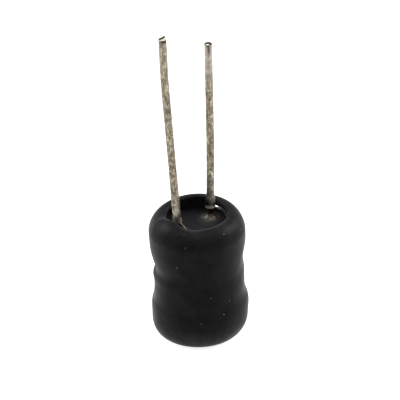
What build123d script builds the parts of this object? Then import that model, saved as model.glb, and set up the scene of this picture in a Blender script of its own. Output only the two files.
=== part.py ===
from build123d import *

import os
from math import cos, exp, hypot, radians, sin

# Drum core inductor: a ferrite bobbin wound with enamelled wire, held in a heat-shrunk
# sleeve, with two tinned leads that stand up from one flange. Millimetres, +Z up.
# The origin is the middle of the sleeve's lower rim. The leads stand on the X axis,
# the long one on the -X side.

# Ferrite core
core_diameter = 9.0
core_height = 11.4
core_lift = 1.0  # from the sleeve's lower rim to the core's lower face
lower_flange = 2.9
upper_flange = 2.4
post_diameter = 4.1
post_chamfer = 0.3
rim_chamfer = 0.4
window_chamfer = 0.25
notch_width = 0.7
notch_depth = 1.0
start_notch_azimuth = -122.0
finish_notch_azimuth = -7.0

# Winding
wire_diameter = 0.3
coil_recess = 0.35  # of the outermost layer inside the flanges' rim
missing_turns = 7  # by which the outermost layer stops short of the top
window_slack = 0.1
tail_rise = 0.155  # of the bend over the notch above the core's upper face
tail_middle = 0.35  # share of the way from the notch to the lead that lies low
tail_middle_rise = 0.25

# Leads
lead_pitch = 4.4
lead_diameter = 0.8
root_diameter = 0.7  # bare pin under the tinning
pin_hole_diameter = 1.5
pin_hole_depth = 2.2
pin_hole_gap = 0.2  # from a pin's end to the bottom of its hole
lead_shift_x = -0.19  # both pins sit off centre in their holes
lead_shift_y = 0.15
start_lead_rise = 22.3  # tip above the core's upper face
finish_lead_rise = 20.2
start_lean = 2.3
start_lean_azimuth = 141.0
start_kink_rise = 17.9
start_tip_lean = 0.3
finish_lean = 1.7
finish_lean_azimuth = -39.0
finish_kink_rise = 9.2
finish_tip_lean = 0.7
tip_chamfer = 0.07
root_bend_rise = 0.75

# Solder on each lead where its wire tail is joined
solder_base_rise = 1.35
solder_height = 1.75
start_solder_diameter = 1.04
finish_solder_diameter = 1.08
solder_round = 0.28
solder_feather = 0.07

# Resin round each lead's root
bond_diameter = 2.7
bond_height = 0.38
meniscus_diameter = 1.45
meniscus_height = 0.24
bond_fill = 0.7  # depth of resin in the pin hole

# Heat-shrunk sleeve
sleeve_wall = 0.48
grip_gap = 0.02
waist_gap = 0.06
crease_gap = 0.18
base_mouth_radius = 3.1
fold_inset = 0.85  # from the sleeve's side in to the corner of its lower fold
fold_rise = 1.35
fold_bend = 0.9
fold_side_bend = 2.4
inner_fold_inset = 0.15  # inside the flat of the core's lower face
inner_fold_rise = 0.4
grip_overrun = 0.3  # how far the flanges hold the sleeve out past their inner faces
waist_run = 1.05
waist_end = 0.35
grip_bend = 2.0
crease_run = 0.85
crease_bend = 1.0
shoulder_swell = 0.76
crown_rise = 1.93
crown_inset = 0.61  # share of the way from the lip out to the side
crown_follow = 0.25  # share of the lip's wave that reaches the crown
shoulder_rings = 6
lip_radius = 3.2
lip_radius_swing = 0.12
lip_rise = 1.32
lip_rise_swing = 0.36
lip_high_azimuth = 34.0
lean_rise = 0.9  # extra height where the lip is held up by the long lead
lean_push = 0.12  # extra radius there
lean_azimuth = 181.0
lean_spread = 25.0
ring_points = 16

core_radius = core_diameter / 2
post_radius = post_diameter / 2
core_top = core_lift + core_height
window_bottom = core_lift + lower_flange
window_top = core_top - upper_flange
coil_radius = core_radius - coil_recess
inner_coil_radius = coil_radius - wire_diameter
coil_bottom = window_bottom + window_slack / 2
coil_top = window_top - window_slack / 2
full_top = coil_top - missing_turns * wire_diameter
grip_radius = core_radius + grip_gap
sleeve_radius = grip_radius + sleeve_wall
shoulder_foot = core_top - rim_chamfer
start_root = (-lead_pitch / 2 + lead_shift_x, lead_shift_y)
finish_root = (lead_pitch / 2 + lead_shift_x, lead_shift_y)
pin_bottom = core_top - pin_hole_depth + pin_hole_gap


def polar(radius, azimuth, height):
    """A point given by its radius, azimuth in degrees and height."""
    return Vector(radius * cos(radians(azimuth)), radius * sin(radians(azimuth)), height)


def leaned(angle, azimuth):
    """A unit vector leaning from +Z by an angle towards an azimuth."""
    return polar(sin(radians(angle)), azimuth, cos(radians(angle)))


def turned(points):
    """The solid that a closed outline of (radius, height) points sweeps round the Z axis."""
    outline = Polyline(*[(radius, 0, height) for radius, height in points], close=True)
    return revolve(make_face(outline), Axis.Z)


def drum_core():
    """Bobbin with two flanges, two pin holes and two wire notches in the upper flange."""
    core = turned([
        (0, core_lift),
        (core_radius - rim_chamfer, core_lift),
        (core_radius, core_lift + rim_chamfer),
        (core_radius, window_bottom - window_chamfer),
        (core_radius - window_chamfer, window_bottom),
        (post_radius + post_chamfer, window_bottom),
        (post_radius, window_bottom + post_chamfer),
        (post_radius, window_top - post_chamfer),
        (post_radius + post_chamfer, window_top),
        (core_radius - window_chamfer, window_top),
        (core_radius, window_top + window_chamfer),
        (core_radius, core_top - rim_chamfer),
        (core_radius - rim_chamfer, core_top),
        (0, core_top),
    ])
    for side in (-1, 1):
        core -= Pos(side * lead_pitch / 2, 0, core_top - pin_hole_depth / 2) * Cylinder(
            pin_hole_diameter / 2, pin_hole_depth
        )
    for azimuth in (start_notch_azimuth, finish_notch_azimuth):
        core -= wire_notch(azimuth)
    return core


def wire_notch(azimuth):
    """Round-bottomed slot through the upper flange's rim."""
    middle = core_radius - notch_depth + notch_width / 2
    reach = 2 * notch_width
    slot = Pos(middle, 0, window_top) * extrude(Circle(notch_width / 2), upper_flange)
    slot += Pos(middle + reach / 2, 0, window_top) * extrude(Rectangle(reach, notch_width), upper_flange)
    return Rot(0, 0, azimuth) * slot


def winding():
    """Layers of wire, the outermost one short of the top, and a tail from each end up to its lead."""
    core_side = post_radius + post_chamfer
    coil = turned([
        (core_side, coil_bottom),
        (coil_radius, coil_bottom),
        (coil_radius, full_top),
        (inner_coil_radius, full_top),
        (inner_coil_radius, coil_top),
        (core_side, coil_top),
        (post_radius, coil_top - post_chamfer),
        (post_radius, coil_bottom + post_chamfer),
    ])
    coil += tail(start_notch_azimuth, start_root, start_lean, start_lean_azimuth)
    coil += tail(finish_notch_azimuth, finish_root, finish_lean, finish_lean_azimuth)
    return coil - start_lead() - finish_lead() - start_solder() - finish_solder()


def tail(azimuth, root, lean, lean_azimuth):
    """Wire from the coil up through its notch and across to the solder on its lead."""
    in_notch = core_radius - notch_depth + notch_width / 2
    low = polar(inner_coil_radius - wire_diameter / 2, azimuth, coil_top - wire_diameter)
    high = polar(in_notch, azimuth, core_top + tail_rise)
    joint = on_lead(root, lean, lean_azimuth, solder_base_rise + solder_round)
    middle = high + (joint - high) * tail_middle
    middle.Z = core_top + tail_middle_rise
    return wire([low, high, middle, joint], wire_diameter)


def on_lead(root, lean, azimuth, rise):
    """The point of a lead's first straight run that lies a given rise above the core."""
    bend = Vector(*root, core_top + root_bend_rise)
    return bend + leaned(lean, azimuth) * (rise - root_bend_rise)


def wire(points, diameter):
    """Round wire along straight runs with sharp bends."""
    path = Polyline(*points)
    return sweep(path.location_at(0) * Circle(diameter / 2), path, transition=Transition.RIGHT)


def lead(root, lean, azimuth, kink_rise, tip_lean, tip_rise):
    """Bare pin in the core and tinned wire above it, with a slight kink below its cut tip."""
    bend = Vector(*root, core_top + root_bend_rise)
    step = on_lead(root, lean, azimuth, solder_base_rise + solder_round)
    kink = on_lead(root, lean, azimuth, kink_rise)
    tip = kink + leaned(tip_lean, azimuth) * (tip_rise - kink_rise)
    bare = wire([Vector(*root, pin_bottom), bend, step], root_diameter)
    tinned = wire([step, kink, tip], lead_diameter)
    cut_end = tinned.faces().sort_by(Axis.Z)[-1]
    return bare + chamfer(cut_end.edges(), tip_chamfer)


def start_lead():
    """The long lead."""
    return lead(
        start_root, start_lean, start_lean_azimuth, start_kink_rise, start_tip_lean, start_lead_rise
    )


def finish_lead():
    """The short lead."""
    return lead(
        finish_root, finish_lean, finish_lean_azimuth, finish_kink_rise, finish_tip_lean, finish_lead_rise
    )


def solder_bell(root, lean, azimuth, diameter):
    """Solder that swells round a lead where the wire tail ends, before the lead is cut out of it."""
    radius = diameter / 2
    neck = lead_diameter / 2 + solder_feather
    bell = turned([
        (0, 0),
        (radius - solder_round, 0),
        (radius, solder_round),
        (neck, solder_height),
        (0, solder_height),
    ])
    base = on_lead(root, lean, azimuth, solder_base_rise)
    return Plane(base, z_dir=leaned(lean, azimuth)).location * bell


def start_solder():
    bell = solder_bell(start_root, start_lean, start_lean_azimuth, start_solder_diameter)
    return bell - start_lead()


def finish_solder():
    bell = solder_bell(finish_root, finish_lean, finish_lean_azimuth, finish_solder_diameter)
    return bell - finish_lead()


def bond(root, side, pin_solid):
    """Resin that fills the top of a pin hole and rises in a low mound and a meniscus round the pin."""
    mound_radius = bond_diameter / 2
    meniscus_radius = meniscus_diameter / 2
    collar = root_diameter / 2
    mound = turned([
        (0, 0),
        (mound_radius, 0),
        (meniscus_radius, bond_height),
        (collar, bond_height + meniscus_height),
        (0, bond_height + meniscus_height),
    ])
    plug = Pos(side * lead_pitch / 2, 0, core_top - bond_fill / 2) * Cylinder(pin_hole_diameter / 2, bond_fill)
    return Pos(*root, core_top) * mound + plug - pin_solid


def start_bond():
    return bond(start_root, -1, start_lead())


def finish_bond():
    return bond(finish_root, 1, finish_lead())


def sleeve_body():
    """Turned part of the sleeve, from the fold under the core up to the foot of its shoulder."""
    waist_inside = coil_radius + waist_gap
    crease_inside = inner_coil_radius + crease_gap
    grip_bottom = window_bottom - grip_overrun
    grip_top = window_top + grip_overrun
    waist_bottom = window_bottom + waist_run
    waist_top = full_top - waist_end
    crease_height = full_top + crease_run
    corners = [
        (base_mouth_radius, 0),
        (sleeve_radius - fold_inset, 0),
        (sleeve_radius, fold_rise),
        (sleeve_radius, grip_bottom),
        (waist_inside + sleeve_wall, waist_bottom),
        (waist_inside + sleeve_wall, waist_top),
        (crease_inside + sleeve_wall, crease_height),
        (sleeve_radius, grip_top),
        (sleeve_radius, shoulder_foot),
    ]
    radii = [fold_bend, fold_side_bend, grip_bend, 0, 0, crease_bend, grip_bend]
    outside = FilletPolyline(*[(radius, 0, height) for radius, height in corners], radius=radii)
    inside = Polyline(*[(radius, 0, height) for radius, height in [
        (sleeve_radius, shoulder_foot),
        (grip_radius, shoulder_foot),
        (grip_radius, grip_top),
        (crease_inside, crease_height),
        (waist_inside, waist_top),
        (waist_inside, waist_bottom),
        (grip_radius, grip_bottom),
        (grip_radius, core_lift + inner_fold_rise),
        (core_radius - rim_chamfer - inner_fold_inset, sleeve_wall),
        (base_mouth_radius, sleeve_wall),
        (base_mouth_radius, 0),
    ]])
    return revolve(make_face(outside + inside), Axis.Z)


def lip(azimuth):
    """Radius and height of the upper lip's outer edge at an azimuth."""
    off_high = radians(azimuth - lip_high_azimuth)
    off_lean = (azimuth - lean_azimuth + 180) % 360 - 180
    lean = exp(-((off_lean / lean_spread) ** 2))
    radius = lip_radius + lip_radius_swing * cos(off_high) + lean_push * lean
    return radius, core_top + lip_rise + lip_rise_swing * cos(off_high) + lean_rise * lean


def shoulder_lines(azimuth):
    """Outer and inner (radius, height) lines from the shoulder's foot to the lip at an azimuth."""
    lip_r, lip_z = lip(azimuth)
    crown_r = lip_r + (sleeve_radius - lip_r) * crown_inset
    crown_z = core_top + crown_rise + (lip_z - core_top - crown_rise) * crown_follow
    controls = [
        (sleeve_radius, shoulder_foot),
        (sleeve_radius, shoulder_foot + shoulder_swell),
        (crown_r, crown_z),
        (lip_r, lip_z),
    ]
    outer = []
    inner = []
    for i in range(shoulder_rings + 1):
        t = i / shoulder_rings
        weights = ((1 - t) ** 3, 3 * t * (1 - t) ** 2, 3 * t**2 * (1 - t), t**3)
        slopes = (-3 * (1 - t) ** 2, 3 * (1 - t) * (1 - 3 * t), 3 * t * (2 - 3 * t), 3 * t**2)
        radius = sum(w * p[0] for w, p in zip(weights, controls))
        height = sum(w * p[1] for w, p in zip(weights, controls))
        run_radius = sum(s * p[0] for s, p in zip(slopes, controls))
        run_height = sum(s * p[1] for s, p in zip(slopes, controls))
        length = hypot(run_radius, run_height)
        outer.append((radius, height))
        inner.append((radius - sleeve_wall * run_height / length, height + sleeve_wall * run_radius / length))
    return outer, inner


def rings(lines):
    """Closed curves that link the same step of every azimuth's (radius, height) line, the first a circle."""
    step = 360 / ring_points
    radius, height = lines[0][0]
    curves = [Wire(Edge.make_circle(radius, Plane((0, 0, height))))]
    for level in range(1, shoulder_rings + 1):
        points = [polar(line[level][0], i * step, line[level][1]) for i, line in enumerate(lines)]
        curves.append(Wire(Edge.make_spline(points, periodic=True)))
    return curves


def sleeve_shoulder():
    """Lofted part of the sleeve that closes in over the core to a wavy lip."""
    lines = [shoulder_lines(i * 360 / ring_points) for i in range(ring_points)]
    outer = rings([line[0] for line in lines])
    inner = rings([line[1] for line in lines])
    inner = [inner[0], inner[shoulder_rings // 2], inner[-1]]
    faces = Shell.make_loft(outer).faces()
    faces += Shell.make_loft([outer[-1], inner[-1]], ruled=True).faces()
    faces += Shell.make_loft(inner, ruled=True).faces()
    faces += Shell.make_loft([inner[0], outer[0]], ruled=True).faces()
    return Solid(Shell(faces))


def sleeve():
    """Heat-shrunk sleeve that follows the core and coil and folds over both ends."""
    return sleeve_body() + sleeve_shoulder()


nodes = {
    "drum_core": drum_core,
    "winding": winding,
    "start_lead": start_lead,
    "finish_lead": finish_lead,
    "start_solder": start_solder,
    "finish_solder": finish_solder,
    "start_bond": start_bond,
    "finish_bond": finish_bond,
    "sleeve": sleeve,
}

os.makedirs("parts", exist_ok=True)
for name, build in nodes.items():
    export_step(build(), f"parts/{name}.step")
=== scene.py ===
from math import cos, exp, pi, radians, sin

import bmesh
import bpy
from mathutils import Matrix, Vector, noise
from mathutils.bvhtree import BVHTree


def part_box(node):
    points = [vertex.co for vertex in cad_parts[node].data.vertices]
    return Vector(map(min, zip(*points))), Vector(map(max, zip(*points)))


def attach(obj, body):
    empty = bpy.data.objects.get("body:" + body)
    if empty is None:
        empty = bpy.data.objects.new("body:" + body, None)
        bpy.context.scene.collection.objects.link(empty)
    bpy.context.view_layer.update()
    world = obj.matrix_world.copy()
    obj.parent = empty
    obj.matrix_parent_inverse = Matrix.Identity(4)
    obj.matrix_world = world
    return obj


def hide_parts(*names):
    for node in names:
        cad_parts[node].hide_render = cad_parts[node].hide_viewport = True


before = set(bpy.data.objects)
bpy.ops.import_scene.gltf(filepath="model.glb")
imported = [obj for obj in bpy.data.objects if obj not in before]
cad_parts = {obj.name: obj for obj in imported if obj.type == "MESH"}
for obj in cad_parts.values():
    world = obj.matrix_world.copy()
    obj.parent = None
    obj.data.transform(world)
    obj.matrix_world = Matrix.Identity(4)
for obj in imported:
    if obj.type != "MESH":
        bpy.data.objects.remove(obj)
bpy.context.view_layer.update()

# Drum core inductor in a heat-shrunk sleeve. Lengths are in metres and angles in degrees where no comment
# says else. Azimuths are the picture's, 0 to the right and 90 to the back. Only a notch's azimuth and the one
# that a lead leans toward are the part's own.
MM = 0.001
UP = Vector((0, 0, 1))

# Camera, fitted to the drum's outline in the photograph. It looks at a point a little beside the drum's axis.
FRAME_PIXELS = 400
FOCAL_PIXELS = 2728
SENSOR_WIDTH = 36.0
VIEW_AZIMUTH = -39.0
VIEW_ELEVATION = 30.0
VIEW_ROLL = -2.24
VIEW_DISTANCE = 280 * MM
VIEW_HEIGHT = 15.46 * MM
VIEW_SIDE = 0.432 * MM
CLIP_START = 0.01
CLIP_END = 10.0

# Core and coil. Each of the coil's outer layers has the height that it reaches and its place from outside.
CORE_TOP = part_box("drum_core")[1][2]
COIL_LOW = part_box("winding")[0][2]
POST_RADIUS = 2.05 * MM
COIL_RADIUS = 4.15 * MM
WIRE_DIAMETER = 0.3 * MM
WIRE_RADIUS = WIRE_DIAMETER / 2
COIL_LAYERS = ((7.85 * MM, 1), (9.95 * MM, 2))
COIL_SLACK = 0.01 * MM
COIL_SECTIONS = 120
RIDGE_TURNS = (-60, -30, 0, 30, 60)

# Wire tails, which go from the coil up through the core's notches and over its upper face to the leads
TAIL_SEAT_RADIUS = 3.85 * MM
TAIL_SEAT_RISE = 0.155 * MM
TAIL_MIDDLE = 0.4
TAIL_SIDES = 20

# Sleeve: its wall, its lower rim and the fold from the rim up to its side
SLEEVE_THIN = 0.32 * MM
SLEEVE_THICK = 0.46 * MM
SLEEVE_SECTIONS = 300
BASE_MOUTH = 3.1 * MM
BASE_FLAT = 3.55 * MM
FOLD_RADIUS = 5.03 * MM
FOLD_HEIGHT = 1.9 * MM
FOLD_TILT = 0.22 * MM
FOLD_ROUND = 0.558
FOLD_STEPS = 16
# Corners of its side in mm: radius, height, what each of the two gains to the right, and what the radius
# gains in front and behind
SIDE_CORNERS = (
    (5.12, 3.77, 0.08, 0.02, -0.05),
    (4.74, 4.60, 0.00, 0.31, 0.08),
    (4.70, 6.47, 0.07, 0.03, 0.08),
    (4.80, 7.50, -0.01, 0.32, -0.09),
    (4.32, 8.45, 0.16, 0.47, 0.42),
    (4.99, 10.0, 0.04, 0.59, -0.06),
)
FACING_SOFTNESS = 0.06
# Its shoulder, from the side over the crown to the lip
SHOULDER_RADIUS = 5.02 * MM
SHOULDER_FOOT = CORE_TOP - 0.4 * MM
SHOULDER_SWELL = 0.76 * MM
SHOULDER_STEPS = 26
CROWN_RISE = 1.96 * MM
CROWN_SHARE = 0.61
CROWN_FOLLOW = 0.25
# Its lip, which swings round the mouth, leans on the long lead and rises in front
LIP_RADIUS = 3.2 * MM
LIP_RADIUS_SWING = 0.11 * MM
LIP_RISE = 1.36 * MM
LIP_RISE_SWING = 0.36 * MM
LIP_HIGH = 73.0
LEAN_RISE = 0.8 * MM
LEAN_PUSH = 0.12 * MM
LEAN_AT = 220.0
LEAN_SPREAD = 28.0
FRONT_RISE = 0.28 * MM
FRONT_AT = 285.0
FRONT_SPREAD = 42.0
# Points over the lip: how far through the wall and how far out, in wall thicknesses
LIP_ARC = ((0.2, 0.2), (0.5, 0.3), (0.8, 0.2))
# Soft fold beside the long lead
PUCKER_AT = 197.0
PUCKER_SPREAD = 7.0
PUCKER_RISE = 0.07 * MM
PUCKER_START = 0.3 * MM
PUCKER_GROWTH = 1.2 * MM
# Painted light: a painted bounce from the floor outside and how high it goes, and a painted fill on the inner
# wall and at which points behind the lip it starts and is full
PAINTED_BOUNCE_HEIGHT = 2.6 * MM
PAINTED_FILL_INSIDE = (4, 14)

# Lumps: size and push of each kind, how far one lifts for its push, and the least it leaves of a radius
SLEEVE_LUMPS = (2.6 * MM, 0.03 * MM)
SLEEVE_GRAIN = (0.5 * MM, 0.004 * MM)
SOLDER_LUMPS = (0.5 * MM, 0.025 * MM)
RESIN_LUMPS = (0.9 * MM, 0.07 * MM)
LUMP_LIFT = 0.5
LUMP_LEAVES = 0.5

# Leads, with a bare pin below and tinned wire above. A rise is a height over the core's upper face.
LEAD_RADIUS = 0.415 * MM
PIN_RADIUS = 0.35 * MM
PIN_DEPTH = 2.0 * MM
ROOT_BEND = 0.75 * MM
STEP_RISE = 1.63 * MM
STEP_RUN = 0.12 * MM
LEAD_RING_STEP = 0.11 * MM
LEAD_SIDES = 48
END_SHARES = (0.93, 0.84, 0.72, 0.58, 0.42, 0.26, 0.1)
# Waves of the tinned coat: how wide the noise's circle is round the lead, and the length of one along it
COAT_UNEVENNESS = 0.03
BROAD_WAVE = (1.2, 2.2 * MM)
FINE_WAVE = (2.6, 0.5 * MM)
# What differs: place and lean, how strong the painted dark reflection on the foot and solder and the
# darkening of the bare pin are, how clean the tip is, the solder's foot, radius and painted highlight on its
# rim, and the tail's notch, its rise halfway and how far solder wets it
LEADS = {
    "start": {
        "root": (-2.39 * MM, 0.15 * MM),
        "lean": 2.3,
        "toward": VIEW_AZIMUTH + 180,
        "kink": 17.9 * MM,
        "tip_lean": 0.3,
        "tip": 22.3 * MM,
        "painted_reflection": 0.12,
        "clean": 0.1,
        "solder_rise": 1.1 * MM,
        "solder_radius": 0.47 * MM,
        "painted_highlight": 0.25,
        "painted_highlight_height": 3.0 * MM,
        "notch": -122.0,
        "tail_rise": 0.45 * MM,
        "wetted": 0.0,
    },
    "finish": {
        "root": (2.01 * MM, 0.15 * MM),
        "lean": 1.7,
        "toward": VIEW_AZIMUTH,
        "kink": 9.2 * MM,
        "tip_lean": 0.7,
        "tip": 20.2 * MM,
        "painted_reflection": 0.92,
        "clean": 0.4,
        "solder_rise": 1.35 * MM,
        "solder_radius": 0.53 * MM,
        "painted_highlight": 0.7,
        "painted_highlight_height": 0.5 * MM,
        "notch": -7.0,
        "tail_rise": 0.95 * MM,
        "wetted": 1.0,
    },
}

# Long lead's cut end, with a burr, and the short lead's domed one
CUT_RISE = 0.04 * MM
BURR_RISE = 0.22 * MM
BURR_AT = 62
BURR_SPREAD = 26
BURR_POWER = 5
DOME_RISE = 0.17 * MM
DOME_FLATNESS = 2.6
DOME_ROUNDNESS = 0.6

# Painted shade and painted dark reflections on the ends' faces, by a point's place to the right and back in
# radii: where each starts and is full
CUT_SLOPE = 0.9
CUT_SHADE_EDGE = (-0.1, 0.15)
CUT_BACK = (-0.45, -0.2)
DOME_SLOPE = 0.3
DOME_BACK = (-0.78, -0.58)
DOME_MIDDLE = -0.1
DOME_SIDES = (0.28, 0.45)
DOME_FRONT = (-0.86, -0.94)
# Painted dark reflections on the sides by the ends: strength, azimuth and its spread, depth under the tip and
# its spread
CUT_DARK_REFLECTIONS = ((1.0, 178, 40, 0.0, 0.1 * MM), (1.3, 290, 55, 0.1 * MM, 0.15 * MM))
DOME_DARK_REFLECTIONS = ((1.0, 70, 95, 0.0, 0.1 * MM), (1.2, 268, 25, 0.0, 0.14 * MM))
# A painted dark reflection that runs down the short lead's front and narrows over a length, and a painted
# dark streak that goes on under it
FRONT_STREAK_STRENGTH = 0.9
FRONT_STREAK_AT = 276
FRONT_STREAK_SPREAD = 26
FRONT_STREAK_NARROWING = 10
FRONT_STREAK_LENGTH = 1.6 * MM
FRONT_STREAK_DEPTH = (0.45 * MM, 0.8 * MM)
CENTRE_STREAK_STRENGTH = 0.22
CENTRE_STREAK_AROUND = (272, 12)
CENTRE_STREAK_START = 0.3 * MM
# Painted dark reflection of the sleeve on the leads and the solder: azimuth and spread of it, and the rises
# where it starts and is full
PAINTED_REFLECTION_AROUND = (205, 55)
PAINTED_REFLECTION_RISES = (6.8 * MM, 2.6 * MM)
SOLDER_REFLECTION_AROUND = (200, 50)
PIN_EDGE = 0.25 * MM
# Fresh metal: it covers the ends' faces out to a share of the radius, and fades down from them
FRESH_SHARE = 0.9
FRESH_DEPTHS = (5.5 * MM, 0.8 * MM)

# Solder bell: corners as a share of the pin's, the bell's or the lead's radius and a rise in mm over its foot
BELL_CORNERS = (
    ("pin", 0.8, 0.06), ("bell", 0.8, 0.0), ("bell", 1.0, 0.1), ("bell", 1.0, 0.3),
    ("bell", 0.93, 0.9), ("lead", 1.03, 1.75), ("lead", 0.9, 1.8),
)
BELL_SIDES = 48
# Painted highlight on the bell's rim: the share of its height where it is full, and how much of the painted
# dark reflection it hides
HIGHLIGHT_FULL = 0.45
HIGHLIGHT_HIDES = 0.5

# Resin mound: its outline as radii and rises in mm, where dust covers it, and where it is clear and dark
RESIN_PROFILE = (
    (0.33, 0.84), (0.37, 0.74), (0.43, 0.62), (0.50, 0.52), (0.60, 0.42), (0.75, 0.31),
    (0.90, 0.25), (1.10, 0.17), (1.30, 0.10), (1.45, 0.04), (1.55, -0.03),
)
RESIN_SIDES = 72
RESIN_DUSTY_RADII = (0.55 * MM, 1.15 * MM)
RESIN_CLOUDY_RISES = (0.6 * MM, 0.3 * MM)

# Dust on the sleeve, as pixels of the picture. The flecks' lengths vary by a sine, and each fleck is spun on.
# Both steps are in radians.
DUST = (
    (241, 229.5), (224, 234), (184, 235), (185.5, 248), (177, 268), (210.5, 298.5),
    (236, 298), (224, 314.5), (201.5, 324), (194, 343), (229.5, 301), (163, 247),
)
FLECK_RADIUS = 0.045 * MM
FLECK_LENGTHENING = 0.5
FLECK_WIDTH = 0.8
FLECK_THICKNESS = 0.35
FLECK_STEP = 2.1
FLECK_SPIN = 1.7

# Colours: a noise's, each with its place on it, and those laid over them
TUBING_BASE = (
    (0.35, (0.0016, 0.0015, 0.0018)),
    (0.7, (0.0046, 0.0044, 0.0049)),
)
# Painted light: the tubing lightened where the painted bounce from the floor and the painted fill on the
# inner wall fall
TUBING_PAINTED_LIGHT = (
    (0.35, (0.018, 0.0172, 0.0185)),
    (0.7, (0.032, 0.0308, 0.0325)),
)
TUBING_GLOSS = (1, 0.92, 0.96, 1)
TUBING_SHEEN = (1, 0.9, 0.95, 1)
WIRE_COAT = (
    (0.30, (0.048, 0.040, 0.028)),
    (0.42, (0.118, 0.100, 0.070)),
    (0.54, (0.218, 0.190, 0.139)),
    (0.70, (0.50, 0.455, 0.365)),
)
WIRE_RUN = (0.115, 0.093, 0.064)
WIRE_PATCH = (0.082, 0.063, 0.042)
WIRE_SPECK = (0.70, 0.68, 0.62)
WIRE_FRESH = (0.58, 0.54, 0.47)
# Painted shade and dark reflections on the leads, also on their darker bare pins
WIRE_SHADE = (0.022, 0.016, 0.013)
SOLDER_DULL = (
    (0.35, (0.05, 0.045, 0.04)),
    (0.5, (0.10, 0.092, 0.08)),
    (0.66, (0.24, 0.215, 0.175)),
)
# Painted highlight on the solder's rim
SOLDER_HIGHLIGHT = (
    (0.35, (0.30, 0.262, 0.20)),
    (0.65, (0.72, 0.65, 0.52)),
)
# Painted dark reflection on the solder
SOLDER_SHADE = (0.03, 0.025, 0.02)
RESIN_CLOUD = (
    (0.34, (0.014, 0.0135, 0.0125)),
    (0.5, (0.030, 0.028, 0.022)),
    (0.64, (0.070, 0.060, 0.032)),
)
RESIN_CLEAR = (0.022, 0.013, 0.007)
RESIN_DUST = (0.012, 0.0118, 0.0122)
ENAMEL = (
    (0.35, (0.016, 0.013, 0.008)),
    (0.65, (0.050, 0.040, 0.024)),
)
TAIL_TIN = (0.85, 0.82, 0.76)
FERRITE = (
    (0.35, (0.005, 0.005, 0.0055)),
    (0.55, (0.0095, 0.0095, 0.0105)),
    (0.75, (0.022, 0.022, 0.0245)),
)
LINT = (
    (0.3, (0.05, 0.05, 0.055)),
    (0.7, (0.2, 0.19, 0.18)),
)
FLOOR_GREY = (0.32, 0.32, 0.32, 1)
WHITE = (1, 1, 1, 1)
# Most of a noise's values lie here, and all of a value that a mesh keeps at its points
NOISE_SPAN = (0.3, 0.7)
LAYER_SPAN = (0, 1)

# Studio: each light's place from the target, to the right, away and up, its side and its radiance
LIGHT_TARGET = 8 * MM
LIGHTS = {
    "overhead": (0.0, -0.06, 0.5, 0.14, 9.0),
    "left_box": (-0.45, 0.13, 0.3, 0.36, 10.0),
    "right_box": (0.45, 0.15, 0.3, 0.36, 13.0),
}
FLOOR_REACH = 3.0
FLOOR_GLOW = 0.8
SKY_RISE = (0.0, 0.9)
SKY_STRENGTH = (0.35, 1.9)


def polar(radius, azimuth, height):
    """A point at a radius, an azimuth of the part's own and a height."""
    return Vector((radius * cos(radians(azimuth)), radius * sin(radians(azimuth)), height))


def in_picture(azimuth):
    """The picture's azimuth for one of the part's own."""
    return (azimuth - VIEW_AZIMUTH) % 360


def clamped(value):
    """A value held between 0 and 1."""
    return max(0, min(1, value))


def soft_step(value, start, end):
    """A ramp from 0 at the start to 1 at the end."""
    return clamped((value - start) / (end - start))


def bell_curve(value, middle, spread):
    """A soft hill of height 1."""
    return exp(-(((value - middle) / spread) ** 2))


def bell_round(azimuth, middle, spread):
    """A soft hill of height 1 on a full turn."""
    off = (azimuth - middle + 180) % 360 - 180
    return bell_curve(off, 0, spread)


def rounded(corners, passes):
    """Cuts the corners of an open line of points, keeping its ends."""
    line = [Vector(c) for c in corners]
    for _ in range(passes):
        cut = [line[0]]
        for a, b in zip(line, line[1:]):
            cut += [a.lerp(b, 0.25), a.lerp(b, 0.75)]
        cut.append(line[-1])
        line = cut
    return line


def bezier(a, b, c, d, steps):
    """Points of a cubic curve after its first."""
    line = []
    for i in range(1, steps + 1):
        t = i / steps
        line.append(a * (1 - t) ** 3 + b * (3 * t * (1 - t) ** 2) + c * (3 * t * t * (1 - t)) + d * t**3)
    return line


def direction(line, i):
    """Direction of a line of points at one of them, with a length of 1."""
    before = line[max(i - 1, 0)]
    after = line[min(i + 1, len(line) - 1)]
    return (after - before).normalized()


def lumps(point, size, push):
    """A smooth uneven push at a point."""
    return noise.noise(point / size) * push


def join_rings(bm, rings):
    """Quads between neighbouring closed rings of vertices."""
    for here, there in zip(rings, rings[1:]):
        for j in range(len(here)):
            k = (j + 1) % len(here)
            bm.faces.new((here[j], there[j], there[k], here[k]))


def join_capped(bm, rings):
    """A closed piece of rings, with a cap at each end."""
    join_rings(bm, rings)
    bm.faces.new(rings[0])
    bm.faces.new(rings[-1])


def finished_mesh(bm, name):
    """A smooth-shaded mesh with outward normals."""
    bmesh.ops.recalc_face_normals(bm, faces=bm.faces)
    for face in bm.faces:
        face.smooth = True
    mesh = bpy.data.meshes.new(name)
    bm.to_mesh(mesh)
    bm.free()
    return mesh


def fold_line(side):
    """The sleeve's fold from its flat rim up to its side, higher on the right."""
    flat_end = Vector((BASE_FLAT, 0))
    fold_end = Vector((FOLD_RADIUS, FOLD_HEIGHT + FOLD_TILT * side))
    across = Vector((BASE_FLAT + FOLD_ROUND * (FOLD_RADIUS - BASE_FLAT), 0))
    below = Vector((FOLD_RADIUS, FOLD_HEIGHT * (1 - FOLD_ROUND) + FOLD_TILT * side))
    return [flat_end] + bezier(flat_end, across, below, fold_end, FOLD_STEPS)


def side_corners(side):
    """Corners of the sleeve's side, over both flanges and in at the waist between them."""
    off_side = 1 - side * side
    facing = off_side * (1 + FACING_SOFTNESS) / (off_side + FACING_SOFTNESS)
    corners = []
    for radius, height, radius_swing, height_swing, front in SIDE_CORNERS:
        radius += radius_swing * side + front * facing
        corners.append(Vector((radius, height + height_swing * side)) * MM)
    return corners


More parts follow.
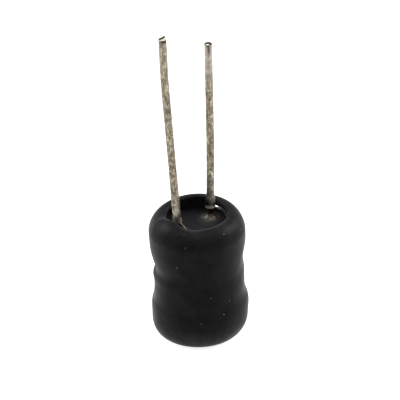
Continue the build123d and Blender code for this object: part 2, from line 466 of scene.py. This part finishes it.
def lip(picture_azimuth):
    """Radius and height of the lip's outer edge."""
    swing = cos(radians(picture_azimuth - LIP_HIGH))
    lean = bell_round(picture_azimuth, LEAN_AT, LEAN_SPREAD)
    front = bell_round(picture_azimuth, FRONT_AT, FRONT_SPREAD)
    radius = LIP_RADIUS + LIP_RADIUS_SWING * swing + LEAN_PUSH * lean
    height = CORE_TOP + LIP_RISE + LIP_RISE_SWING * swing + LEAN_RISE * lean + FRONT_RISE * front
    return radius, height


def shoulder_line(foot, picture_azimuth):
    """The sleeve's shoulder from its foot over the crown to the lip."""
    lip_radius, lip_height = lip(picture_azimuth)
    crown = CORE_TOP + CROWN_RISE
    crown += (lip_height - crown) * CROWN_FOLLOW
    swell = Vector((SHOULDER_RADIUS, SHOULDER_FOOT + SHOULDER_SWELL))
    over = Vector((lip_radius + CROWN_SHARE * (SHOULDER_RADIUS - lip_radius), crown))
    return bezier(foot, swell, over, Vector((lip_radius, lip_height)), SHOULDER_STEPS)


def sleeve_outer_line(picture_azimuth):
    """Outer line of the sleeve as radii and heights, from its flat rim up to the lip."""
    side = cos(radians(picture_azimuth))
    foot = Vector((SHOULDER_RADIUS, SHOULDER_FOOT))
    line = [Vector((BASE_MOUTH, 0))] + fold_line(side)
    line += rounded([line[-1], *side_corners(side), foot], passes=3)[1:]
    return line + shoulder_line(foot, picture_azimuth)


def wall_at(height):
    """Thickness of the tubing: thin where it is stretched, thick at its two rims."""
    low = max(0, 1 - height / FOLD_HEIGHT)
    high = max(0, (height - CORE_TOP) / LIP_RISE)
    return SLEEVE_THIN + (SLEEVE_THICK - SLEEVE_THIN) * min(1, low + high)


def sleeve_section(picture_azimuth):
    """Section of the sleeve: its outer line, then the round of its lip with its inner line down."""
    outer = sleeve_outer_line(picture_azimuth)
    inner = []
    for i, point in enumerate(outer):
        along = direction(outer, i)
        inner.append(point + wall_at(point.y) * Vector((-along.y, along.x)))
    out = (outer[-1] - outer[-2]).normalized()
    lip_arc = []
    for through, outward in LIP_ARC:
        lip_arc.append(outer[-1].lerp(inner[-1], through) + out * SLEEVE_THICK * outward)
    return outer, lip_arc + inner[::-1]


def pucker(picture_azimuth, height):
    """Push of the soft fold where the long lead pulls the lip up."""
    grown = clamped((height - CORE_TOP - PUCKER_START) / PUCKER_GROWTH)
    return PUCKER_RISE * bell_curve(picture_azimuth, PUCKER_AT, PUCKER_SPREAD) * grown


def sleeve_mesh():
    """The heat-shrunk sleeve as closed sections round the Z axis, with its painted light at each point: a
    painted bounce from the floor low outside, and a painted fill on the inner wall.
    """
    bm = bmesh.new()
    dust_and_painted_light = bm.verts.layers.float.new("dust_and_painted_light")
    rings = []
    for i in range(SLEEVE_SECTIONS):
        picture_azimuth = 360 * i / SLEEVE_SECTIONS
        azimuth = picture_azimuth + VIEW_AZIMUTH
        outer, inner = sleeve_section(picture_azimuth)
        ring = []
        for radius, height in outer:
            point = polar(radius, azimuth, height)
            uneven = lumps(point, *SLEEVE_LUMPS) + lumps(point, *SLEEVE_GRAIN)
            push = uneven * min(1, height / FOLD_HEIGHT) + pucker(picture_azimuth, height)
            vert = bm.verts.new(polar(radius + push, azimuth, height + push * LUMP_LIFT))
            # Painted bounce from the floor: full at the bottom, gone at its height
            vert[dust_and_painted_light] = max(0, 1 - height / PAINTED_BOUNCE_HEIGHT)
            ring.append(vert)
        for step, (radius, height) in enumerate(inner):
            point = polar(radius, azimuth, height)
            push = lumps(point, *SLEEVE_LUMPS) * min(1, height / FOLD_HEIGHT)
            vert = bm.verts.new(polar(radius + push, azimuth, height))
            # Painted fill on the inner wall, from some points behind the lip
            vert[dust_and_painted_light] = soft_step(step, *PAINTED_FILL_INSIDE)
            ring.append(vert)
        rings.append(ring)
    join_rings(bm, rings + rings[:1])
    return finished_mesh(bm, "sleeve_skin")


def layer_radius(layer):
    """Radius of the wires' centres in a layer of the coil, counted from outside."""
    return COIL_RADIUS - WIRE_DIAMETER * (layer - 0.5)


def coil_line():
    """Outline of the coil: each turn of its outer layers as a ridge."""
    line = [(POST_RADIUS, COIL_LOW), (COIL_RADIUS - WIRE_DIAMETER, COIL_LOW)]
    height = COIL_LOW
    for top, layer in COIL_LAYERS:
        while height + WIRE_DIAMETER <= top + COIL_SLACK:
            for turn in RIDGE_TURNS:
                radius = layer_radius(layer) + WIRE_RADIUS * cos(radians(turn))
                line.append((radius, height + WIRE_RADIUS * (1 + sin(radians(turn)))))
            height += WIRE_DIAMETER
    line.append((POST_RADIUS, height))
    return line


def tail_line(lead):
    """Smooth way of a wire tail from the coil up through its notch to the solder on its lead."""
    top, layer = COIL_LAYERS[-1]
    low = polar(layer_radius(layer), lead["notch"], top - WIRE_DIAMETER)
    seat = polar(TAIL_SEAT_RADIUS, lead["notch"], CORE_TOP + TAIL_SEAT_RISE)
    joint = on_lead(lead, STEP_RISE)
    middle = seat.lerp(joint, TAIL_MIDDLE)
    middle.z = CORE_TOP + lead["tail_rise"]
    return rounded([low, seat, middle, joint], passes=3)


def add_tail(bm, wetted, lead):
    """A wire tail as a capped round tube, with how far solder wets it kept at each point."""
    line = tail_line(lead)
    rings = []
    for i, centre in enumerate(line):
        turn = UP.rotation_difference(direction(line, i))
        ring = []
        for j in range(TAIL_SIDES):
            vert = bm.verts.new(centre + turn @ polar(WIRE_RADIUS, 360 * j / TAIL_SIDES, 0))
            vert[wetted] = lead["wetted"]
            ring.append(vert)
        rings.append(ring)
    join_capped(bm, rings)


def winding_mesh():
    """The coil with its turns, and both tails."""
    bm = bmesh.new()
    wetted = bm.verts.layers.float.new("wetted")
    rings = []
    for i in range(COIL_SECTIONS):
        azimuth = 360 * i / COIL_SECTIONS
        rings.append([bm.verts.new(polar(radius, azimuth, height)) for radius, height in coil_line()])
    join_rings(bm, rings + rings[:1])
    for lead in LEADS.values():
        add_tail(bm, wetted, lead)
    return finished_mesh(bm, "winding_skin")


def leaned(angle, azimuth):
    """A unit vector leaning from +Z by an angle towards an azimuth of the part's own."""
    return polar(sin(radians(angle)), azimuth, cos(radians(angle)))


def lead_root(lead):
    """The point where a lead comes out of the core."""
    return Vector((*lead["root"], CORE_TOP))


def on_lead(lead, rise):
    """Centre of a lead at a rise."""
    if rise < ROOT_BEND:
        return lead_root(lead) + UP * rise
    bend = lead_root(lead) + UP * ROOT_BEND
    first = leaned(lead["lean"], lead["toward"])
    if rise < lead["kink"]:
        return bend + first * (rise - ROOT_BEND)
    kink = bend + first * (lead["kink"] - ROOT_BEND)
    return kink + leaned(lead["tip_lean"], lead["toward"]) * (rise - lead["kink"])


def coat_wave(wave, azimuth, rise, shift):
    """One wave of the tinned coat at a point of a lead."""
    circle, length = wave
    return noise.noise(polar(circle, azimuth, rise / length) + shift)


def lead_radius(lead, rise, azimuth):
    """Radius of the bare pin, and above it of the tinned wire with its uneven coat."""
    tinned = clamped((rise - STEP_RISE) / STEP_RUN)
    radius = PIN_RADIUS + (LEAD_RADIUS - PIN_RADIUS) * tinned
    broad = coat_wave(BROAD_WAVE, azimuth, rise, Vector((lead["lean"], 0, 0)))
    fine = coat_wave(FINE_WAVE, azimuth, rise, Vector((0, lead["lean"], 0)))
    return radius * (1 + tinned * (COAT_UNEVENNESS * broad + COAT_UNEVENNESS * fine))


def cut_tip(share, azimuth):
    """Rise of the cut end's face, with a burr at its back right."""
    burr = bell_round(in_picture(azimuth), BURR_AT, BURR_SPREAD) * share**BURR_POWER
    return CUT_RISE + BURR_RISE * burr


def domed_tip(share, azimuth):
    """Rise of the short lead's rounded end, the same all round."""
    return DOME_RISE * (1 - share**DOME_FLATNESS) ** DOME_ROUNDNESS


def on_face(share, azimuth):
    """Place on a lead's end, to the right and to the back, in radii."""
    turn = radians(azimuth - VIEW_AZIMUTH)
    return share * cos(turn), share * sin(turn)


def side_dark_reflection(reflections, azimuth, depth):
    """The strongest of some soft painted dark reflections on a lead's side, at a depth under its tip."""
    strongest = 0
    for strength, middle, spread, deep, reach in reflections:
        around = bell_curve(in_picture(azimuth), middle, spread)
        strongest = max(strongest, strength * around * bell_curve(depth, deep, reach))
    return strongest


def cut_end_shade(depth, share, azimuth):
    """Painted shade on the long lead's end: darker at the back left of its face, and painted dark reflections
    round its rim.
    """
    if share == 1:
        return side_dark_reflection(CUT_DARK_REFLECTIONS, azimuth, depth)
    right, back = on_face(share, azimuth)
    return soft_step(back - CUT_SLOPE * right, *CUT_SHADE_EDGE) * soft_step(back, *CUT_BACK)


def domed_end_shade(depth, share, azimuth):
    """Painted dark reflections on the short lead's end: round its face, and two painted dark streaks down its
    front.
    """
    if share == 1:
        turn = in_picture(azimuth)
        front_streak_spread = FRONT_STREAK_SPREAD - FRONT_STREAK_NARROWING * min(1, depth / FRONT_STREAK_LENGTH)
        front_streak = FRONT_STREAK_STRENGTH * bell_curve(turn, FRONT_STREAK_AT, front_streak_spread) * bell_curve(depth, *FRONT_STREAK_DEPTH)
        centre_streak = CENTRE_STREAK_STRENGTH * bell_curve(turn, *CENTRE_STREAK_AROUND) * (depth > CENTRE_STREAK_START)
        return max(side_dark_reflection(DOME_DARK_REFLECTIONS, azimuth, depth), front_streak, centre_streak)
    right, back = on_face(share, azimuth)
    behind = soft_step(back + DOME_SLOPE * right, *DOME_BACK)
    beside = soft_step(abs(right - DOME_MIDDLE), *DOME_SIDES)
    return max(behind, beside, soft_step(back, *DOME_FRONT))


def foot_darkness(lead, rise, azimuth):
    """Darkness of a lead's foot: darker on the bare pin, and a painted dark reflection on its left above the
    solder.
    """
    # Painted dark reflection on the left above the solder
    painted_reflection = bell_curve(in_picture(azimuth), *PAINTED_REFLECTION_AROUND) * soft_step(rise, *PAINTED_REFLECTION_RISES)
    pin = soft_step(rise, STEP_RISE + PIN_EDGE, STEP_RISE - PIN_EDGE)
    return lead["painted_reflection"] * max(painted_reflection, pin)


def stain_and_painted_light_layers(bm):
    """What a mesh keeps at each point for its material: how dark it is, which is painted shade on the leads
    and solder, a darker bare pin, and dust on the resin, and how fresh it is, which on the solder is a
    painted highlight.
    """
    return bm.verts.layers.float.new("painted_shade_and_dust"), bm.verts.layers.float.new("fresh_and_painted_highlight")


def lead_ring(bm, layers, lead, rise, share, tip_shape, tip_shade):
    """One ring of a lead at a rise, at a share of its radius: under 1 on the face of its end."""
    dark, fresh_and_painted_highlight = layers
    centre = on_lead(lead, rise)
    depth = lead["tip"] - rise
    ring = []
    for i in range(LEAD_SIDES):
        azimuth = 360 * i / LEAD_SIDES
        lift = tip_shape(share, azimuth) if depth < LEAD_RING_STEP else 0
        vert = bm.verts.new(centre + polar(lead_radius(lead, rise, azimuth) * share, azimuth, lift))
        # Painted shade: dark reflections at the foot and the end, and the darker bare pin
        vert[dark] = min(1, max(foot_darkness(lead, rise, azimuth), tip_shade(depth, share, azimuth)))
        vert[fresh_and_painted_highlight] = 1.0 if share < FRESH_SHARE else lead["clean"] * soft_step(depth, *FRESH_DEPTHS)
        ring.append(vert)
    return ring


def lead_mesh(name, lead, tip_shape, tip_shade):
    """A lead as rings from its hidden foot up to its tip, and in over its end."""
    bm = bmesh.new()
    layers = stain_and_painted_light_layers(bm)
    places = []
    rise = -PIN_DEPTH
    while rise < lead["tip"]:
        places.append((rise, 1))
        rise += LEAD_RING_STEP
    places += [(lead["tip"], share) for share in (1, *END_SHARES)]
    join_capped(bm, [lead_ring(bm, layers, lead, *place, tip_shape, tip_shade) for place in places])
    return finished_mesh(bm, name)


def turned_mesh(name, centre_line, profile, sides, unevenness, stain_and_painted_light):
    """A closed turned piece round a line of centres, a little uneven, with its stains and its painted light
    kept at each point.
    """
    bm = bmesh.new()
    dark, fresh_and_painted_highlight = stain_and_painted_light_layers(bm)
    rings = []
    for radius, rise in profile:
        centre = centre_line(rise)
        ring = []
        for i in range(sides):
            azimuth = 360 * i / sides
            push = lumps(centre + polar(radius, azimuth, 0), *unevenness)
            pushed = max(radius + push, radius * LUMP_LEAVES)
            vert = bm.verts.new(centre + polar(pushed, azimuth, push * LUMP_LIFT))
            vert[dark], vert[fresh_and_painted_highlight] = stain_and_painted_light(radius, rise, azimuth)
            ring.append(vert)
        rings.append(ring)
    join_capped(bm, rings)
    return finished_mesh(bm, name)


def bell_mesh(name, lead):
    """Solder that swells round a lead, widest where the wire tail ends, with a painted dark reflection and a
    painted highlight on its rim.
    """
    low = lead["solder_rise"]
    painted_highlight_height = lead["painted_highlight_height"]
    radii = {"pin": PIN_RADIUS, "bell": lead["solder_radius"], "lead": LEAD_RADIUS}
    corners = [(radii[of] * share, low + rise * MM) for of, share, rise in BELL_CORNERS]

    def centre_line(rise):
        return on_lead(lead, rise)

    def stain_and_painted_light(radius, rise, azimuth):
        # Painted highlight on the rim by the foot, and a painted dark reflection on one side, which the
        # highlight partly hides
        painted_highlight = lead["painted_highlight"] * soft_step(rise - low, painted_highlight_height, painted_highlight_height * HIGHLIGHT_FULL)
        painted_reflection = lead["painted_reflection"] * bell_curve(in_picture(azimuth), *SOLDER_REFLECTION_AROUND)
        return painted_reflection * (1 - HIGHLIGHT_HIDES * painted_highlight), painted_highlight

    return turned_mesh(name, centre_line, rounded(corners, passes=2), BELL_SIDES, SOLDER_LUMPS, stain_and_painted_light)


def resin_mesh(name, lead):
    """Low resin mound that climbs the pin, dark where it is clear and dusty further out."""
    profile = rounded([(radius * MM, rise * MM) for radius, rise in RESIN_PROFILE], passes=1)

    def centre_line(rise):
        return lead_root(lead) + UP * rise

    def stain_and_painted_light(radius, rise, azimuth):
        return soft_step(radius, *RESIN_DUSTY_RADII), soft_step(rise, *RESIN_CLOUDY_RISES)

    return turned_mesh(name, centre_line, profile, RESIN_SIDES, RESIN_LUMPS, stain_and_painted_light)


def camera_axes():
    """The camera's place, and its directions to the right, up and forward."""
    level, away = level_axes()
    elevation = radians(VIEW_ELEVATION)
    roll = radians(VIEW_ROLL)
    forward = away * cos(elevation) - UP * sin(elevation)
    rise = level.cross(forward)
    right = level * cos(roll) + rise * sin(roll)
    up = rise * cos(roll) - level * sin(roll)
    place = UP * VIEW_HEIGHT + level * VIEW_SIDE - forward * VIEW_DISTANCE
    return place, right, up, forward


def level_axes():
    """The picture's directions to the right and away from the camera, both level."""
    azimuth = radians(VIEW_AZIMUTH)
    return Vector((cos(azimuth), sin(azimuth), 0)), Vector((-sin(azimuth), cos(azimuth), 0))


def dust_mesh(skin):
    """Flat flecks that lie on the sleeve where the picture shows dust."""
    place, right, up, forward = camera_axes()
    surface = BVHTree.FromObject(skin, bpy.context.evaluated_depsgraph_get())
    bm = bmesh.new()
    half = FRAME_PIXELS / 2
    for i, (x, y) in enumerate(DUST):
        ray = forward * FOCAL_PIXELS + right * (x - half) - up * (y - half)
        spot, normal, _, _ = surface.ray_cast(place, ray.normalized())
        turn = UP.rotation_difference(normal).to_matrix().to_4x4()
        spin = Matrix.Rotation(i * FLECK_SPIN, 4, "Z")
        length = 1 + FLECK_LENGTHENING * sin(i * FLECK_STEP)
        shape = Matrix.Diagonal((length, FLECK_WIDTH, FLECK_THICKNESS, 1))
        matrix = Matrix.Translation(spot) @ turn @ spin @ shape
        bmesh.ops.create_icosphere(bm, subdivisions=2, radius=FLECK_RADIUS, matrix=matrix)
    return finished_mesh(bm, "dust_specks")


def new_material(name, values):
    """A principled material with some plain values, its node tree and its shader's inputs."""
    material = bpy.data.materials.new(name)
    material.use_nodes = True
    inputs = material.node_tree.nodes["Principled BSDF"].inputs
    for socket, value in values.items():
        inputs[socket].default_value = value
    return material, material.node_tree, inputs


def noise_node(tree, scale, detail, along=1, roughness=0.5):
    """A noise in object space, its scale in waves a metre, drawn out along Z where along is under 1."""
    coords = tree.nodes.new("ShaderNodeTexCoord").outputs["Object"]
    mapping = tree.nodes.new("ShaderNodeMapping")
    mapping.inputs["Scale"].default_value = (1, 1, along)
    tree.links.new(coords, mapping.inputs["Vector"])
    node = tree.nodes.new("ShaderNodeTexNoise")
    node.inputs["Scale"].default_value = scale
    node.inputs["Detail"].default_value = detail
    node.inputs["Roughness"].default_value = roughness
    tree.links.new(mapping.outputs["Vector"], node.inputs["Vector"])
    return node.outputs["Fac"]


def ramp_node(tree, source, stops):
    """A colour ramp on a value, with a place and a colour for each stop."""
    node = tree.nodes.new("ShaderNodeValToRGB")
    ramp = node.color_ramp
    ramp.elements[0].position = stops[0][0]
    ramp.elements[0].color = (*stops[0][1], 1)
    ramp.elements[1].position = stops[-1][0]
    ramp.elements[1].color = (*stops[-1][1], 1)
    for place, color in stops[1:-1]:
        element = ramp.elements.new(place)
        element.color = (*color, 1)
    tree.links.new(source, node.inputs["Fac"])
    return node.outputs["Color"]


def range_node(tree, source, before, after):
    """A value stretched from one range to another."""
    node = tree.nodes.new("ShaderNodeMapRange")
    node.inputs["From Min"].default_value = before[0]
    node.inputs["From Max"].default_value = before[1]
    node.inputs["To Min"].default_value = after[0]
    node.inputs["To Max"].default_value = after[1]
    tree.links.new(source, node.inputs["Value"])
    return node.outputs["Result"]


def mix_node(tree, share, a, b):
    """Colour a, or colour b where the share is 1. Either is a plain colour or a node's output."""
    node = tree.nodes.new("ShaderNodeMix")
    node.data_type = "RGBA"
    tree.links.new(share, node.inputs["Factor"])
    for socket, value in ((node.inputs["A"], a), (node.inputs["B"], b)):
        if isinstance(value, tuple):
            socket.default_value = (*value, 1)
        else:
            tree.links.new(value, socket)
    return node.outputs["Result"]


def bump_node(tree, height, strength, distance, normal=None):
    """A bump from a height, over another bump if one is given."""
    node = tree.nodes.new("ShaderNodeBump")
    node.inputs["Strength"].default_value = strength
    node.inputs["Distance"].default_value = distance
    tree.links.new(height, node.inputs["Height"])
    if normal is not None:
        tree.links.new(normal, node.inputs["Normal"])
    return node.outputs["Normal"]


def layer_output(tree, name):
    """A value kept at each point of the mesh."""
    node = tree.nodes.new("ShaderNodeAttribute")
    node.attribute_name = name
    return node.outputs["Fac"]


def sleeve_material():
    """Matt black shrink tubing: a fine grain, painted light that lightens it low outside and on the inner
    wall, and uneven gloss.
    """
    material, tree, inputs = new_material("shrink_tubing", {
        "Specular IOR Level": 0.045,
        "Specular Tint": TUBING_GLOSS,
        "Sheen Weight": 0.08,
        "Sheen Roughness": 0.35,
        "Sheen Tint": TUBING_SHEEN,
    })
    film = noise_node(tree, scale=700, detail=6, roughness=0.6)
    clean = ramp_node(tree, film, TUBING_BASE)
    dust_and_painted_light = ramp_node(tree, film, TUBING_PAINTED_LIGHT)
    # The painted bounce and fill light are mixed into the colour here
    tree.links.new(mix_node(tree, layer_output(tree, "dust_and_painted_light"), clean, dust_and_painted_light), inputs["Base Color"])
    tree.links.new(range_node(tree, film, NOISE_SPAN, (0.52, 0.42)), inputs["Roughness"])
    dents = bump_node(tree, noise_node(tree, scale=1100, detail=3), strength=0.25, distance=0.06 * MM)
    grain = noise_node(tree, scale=9000, detail=5)
    tree.links.new(bump_node(tree, grain, strength=0.3, distance=0.015 * MM, normal=dents), inputs["Normal"])
    return material


def wire_material():
    """Dull mottled tinned wire: brown runs and patches, bright specks, fresh metal at its ends, painted shade
    and dark reflections at its ends and foot, and a darker bare pin.
    """
    material, tree, inputs = new_material("tinned_wire_dull", {"Metallic": 1.0})
    mottle = noise_node(tree, scale=3600, detail=5, along=0.5, roughness=0.68)
    runs = noise_node(tree, scale=2300, detail=4, along=0.08, roughness=0.6)
    patches = noise_node(tree, scale=900, detail=3, along=0.55)
    specks = noise_node(tree, scale=6500, detail=2, along=0.6)
    color = ramp_node(tree, mottle, WIRE_COAT)
    color = mix_node(tree, range_node(tree, runs, (0.5, 0.66), (0.0, 0.6)), color, WIRE_RUN)
    color = mix_node(tree, range_node(tree, patches, (0.5, 0.68), (0.0, 0.5)), color, WIRE_PATCH)
    color = mix_node(tree, range_node(tree, specks, (0.6, 0.72), (0.0, 0.5)), color, WIRE_SPECK)
    color = mix_node(tree, layer_output(tree, "fresh_and_painted_highlight"), color, WIRE_FRESH)
    # Painted shade and dark reflections, and the darker bare pin
    color = mix_node(tree, layer_output(tree, "painted_shade_and_dust"), color, WIRE_SHADE)
    tree.links.new(color, inputs["Base Color"])
    tree.links.new(range_node(tree, mottle, NOISE_SPAN, (0.55, 0.34)), inputs["Roughness"])
    streaks = bump_node(tree, runs, strength=0.4, distance=0.05 * MM)
    pits = bump_node(tree, mottle, strength=0.3, distance=0.05 * MM, normal=streaks)
    tree.links.new(pits, inputs["Normal"])
    return material


def solder_material():
    """Dark dull solder, with a painted dark reflection on one side and a tan painted highlight towards its
    foot.
    """
    material, tree, inputs = new_material("solder_satin", {})
    fresh_and_painted_highlight = layer_output(tree, "fresh_and_painted_highlight")
    bloom = noise_node(tree, scale=1900, detail=4)
    # The painted highlight, tan and less metallic, and the painted dark reflection
    color = mix_node(tree, fresh_and_painted_highlight, ramp_node(tree, bloom, SOLDER_DULL), ramp_node(tree, bloom, SOLDER_HIGHLIGHT))
    color = mix_node(tree, layer_output(tree, "painted_shade_and_dust"), color, SOLDER_SHADE)
    tree.links.new(color, inputs["Base Color"])
    tree.links.new(range_node(tree, fresh_and_painted_highlight, LAYER_SPAN, (1.0, 0.4)), inputs["Metallic"])
    tree.links.new(range_node(tree, bloom, NOISE_SPAN, (0.25, 0.45)), inputs["Roughness"])
    tree.links.new(bump_node(tree, bloom, strength=0.3, distance=0.04 * MM), inputs["Normal"])
    return material


def resin_material():
    """Amber-grey resin, glossy near the pin and dusty further out."""
    material, tree, inputs = new_material("resin_amber", {})
    dust_and_painted_light = layer_output(tree, "painted_shade_and_dust")
    cloud = ramp_node(tree, noise_node(tree, scale=1400, detail=4), RESIN_CLOUD)
    color = mix_node(tree, layer_output(tree, "fresh_and_painted_highlight"), RESIN_CLEAR, cloud)
    tree.links.new(mix_node(tree, dust_and_painted_light, color, RESIN_DUST), inputs["Base Color"])
    tree.links.new(range_node(tree, dust_and_painted_light, LAYER_SPAN, (0.16, 0.6)), inputs["Roughness"])
    tree.links.new(range_node(tree, dust_and_painted_light, LAYER_SPAN, (0.14, 0.01)), inputs["Specular IOR Level"])
    ripples = noise_node(tree, scale=2200, detail=3)
    tree.links.new(bump_node(tree, ripples, strength=0.8, distance=0.05 * MM), inputs["Normal"])
    return material


def enamel_material():
    """Dark golden enamelled copper wire, silvery where solder wets it."""
    material, tree, inputs = new_material("enamel_copper", {"Coat Weight": 0.15, "Coat Roughness": 0.12})
    wetted = layer_output(tree, "wetted")
    mottle = noise_node(tree, scale=1700, detail=3)
    tree.links.new(mix_node(tree, wetted, ramp_node(tree, mottle, ENAMEL), TAIL_TIN), inputs["Base Color"])
    tree.links.new(range_node(tree, wetted, LAYER_SPAN, (1.0, 0.85)), inputs["Metallic"])
    tree.links.new(range_node(tree, mottle, NOISE_SPAN, (0.32, 0.16)), inputs["Roughness"])
    return material


def ferrite_material():
    """Dark sintered ferrite with a fine grain."""
    material, tree, inputs = new_material("ferrite_dark", {"Specular IOR Level": 0.01})
    grain = noise_node(tree, scale=5000, detail=6, roughness=0.65)
    tree.links.new(ramp_node(tree, grain, FERRITE), inputs["Base Color"])
    tree.links.new(range_node(tree, grain, NOISE_SPAN, (0.7, 0.5)), inputs["Roughness"])
    tree.links.new(bump_node(tree, grain, strength=0.5, distance=0.03 * MM), inputs["Normal"])
    return material


def dust_material():
    """Pale lint."""
    material, tree, inputs = new_material("dust_pale", {"Roughness": 0.8, "Specular IOR Level": 0.1})
    tint = noise_node(tree, scale=9000, detail=2)
    tree.links.new(ramp_node(tree, tint, LINT), inputs["Base Color"])
    return material


def add_object(data):
    """An object in the scene with the name of its mesh, light or camera."""
    obj = bpy.data.objects.new(data.name, data)
    bpy.context.scene.collection.objects.link(obj)
    return obj


def add_piece(mesh, material, node):
    """A visible piece that stands for a CAD node."""
    obj = add_object(mesh)
    obj.data.materials.append(material)
    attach(obj, "root")
    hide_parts(node)
    return obj


def add_leads():
    """Both leads, the solder that joins each to its tail, and the resin at each root."""
    ends = {"start": (cut_tip, cut_end_shade), "finish": (domed_tip, domed_end_shade)}
    wire = wire_material()
    for name, lead in LEADS.items():
        add_piece(lead_mesh(f"{name}_lead_skin", lead, *ends[name]), wire, f"{name}_lead")
    solder = solder_material()
    for name, lead in LEADS.items():
        add_piece(bell_mesh(f"{name}_solder_skin", lead), solder, f"{name}_solder")
    resin = resin_material()
    for name, lead in LEADS.items():
        add_piece(resin_mesh(f"{name}_bond_skin", lead), resin, f"{name}_bond")


def add_dust(skin):
    """The flecks of dust on the sleeve's skin."""
    dust = add_object(dust_mesh(skin))
    dust.data.materials.append(dust_material())
    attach(dust, "root")


def add_camera():
    """Camera at the photograph's viewing angle, tilted as the photograph is."""
    place, right, up, forward = camera_axes()
    data = bpy.data.cameras.new("camera")
    data.sensor_width = SENSOR_WIDTH
    data.lens = FOCAL_PIXELS / FRAME_PIXELS * SENSOR_WIDTH
    data.clip_start = CLIP_START
    data.clip_end = CLIP_END
    camera = add_object(data)
    camera.matrix_world = Matrix((
        (right.x, up.x, -forward.x, place.x),
        (right.y, up.y, -forward.y, place.y),
        (right.z, up.z, -forward.z, place.z),
        (0, 0, 0, 1),
    ))
    bpy.context.scene.camera = camera


def add_light(name, place, target, size, radiance):
    """A square soft light that faces a point."""
    data = bpy.data.lights.new(name, "AREA")
    data.shape = "SQUARE"
    data.size = size
    data.energy = radiance * pi * size * size
    light = add_object(data)
    light.location = place
    light.rotation_euler = (target - place).to_track_quat("-Z", "Y").to_euler()


def add_floor():
    """Pale floor that glows a little, as a light table does."""
    bm = bmesh.new()
    bmesh.ops.create_grid(bm, x_segments=1, y_segments=1, size=FLOOR_REACH)
    mesh = bpy.data.meshes.new("floor")
    bm.to_mesh(mesh)
    bm.free()
    floor = add_object(mesh)
    material, _, _ = new_material("floor_white", {
        "Base Color": FLOOR_GREY,
        "Roughness": 0.9,
        "Specular IOR Level": 0.1,
        "Emission Color": WHITE,
        "Emission Strength": FLOOR_GLOW,
    })
    mesh.materials.append(material)


def add_sky():
    """Soft light that grows from the horizon to overhead."""
    world = bpy.data.worlds.new("sky")
    world.use_nodes = True
    tree = world.node_tree
    background = tree.nodes["Background"]
    background.inputs["Color"].default_value = WHITE
    coords = tree.nodes.new("ShaderNodeTexCoord")
    split = tree.nodes.new("ShaderNodeSeparateXYZ")
    tree.links.new(coords.outputs["Generated"], split.inputs["Vector"])
    strength = range_node(tree, split.outputs["Z"], SKY_RISE, SKY_STRENGTH)
    tree.links.new(strength, background.inputs["Strength"])
    bpy.context.scene.world = world


def add_studio():
    """Floor, sky, and soft lights overhead and at both sides."""
    add_floor()
    add_sky()
    level, away = level_axes()
    target = UP * LIGHT_TARGET
    for name, (right, back, rise, size, radiance) in LIGHTS.items():
        add_light(name, target + UP * rise + level * right + away * back, target, size, radiance)
    bpy.context.scene.view_settings.view_transform = "Standard"


def main():
    """Makes the camera, the looks of the core and the other pieces, and the studio."""
    add_camera()
    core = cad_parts["drum_core"]
    core.data.materials.clear()
    core.data.materials.append(ferrite_material())
    skin = add_piece(sleeve_mesh(), sleeve_material(), "sleeve")
    add_piece(winding_mesh(), enamel_material(), "winding")
    add_leads()
    add_dust(skin)
    add_studio()


main()
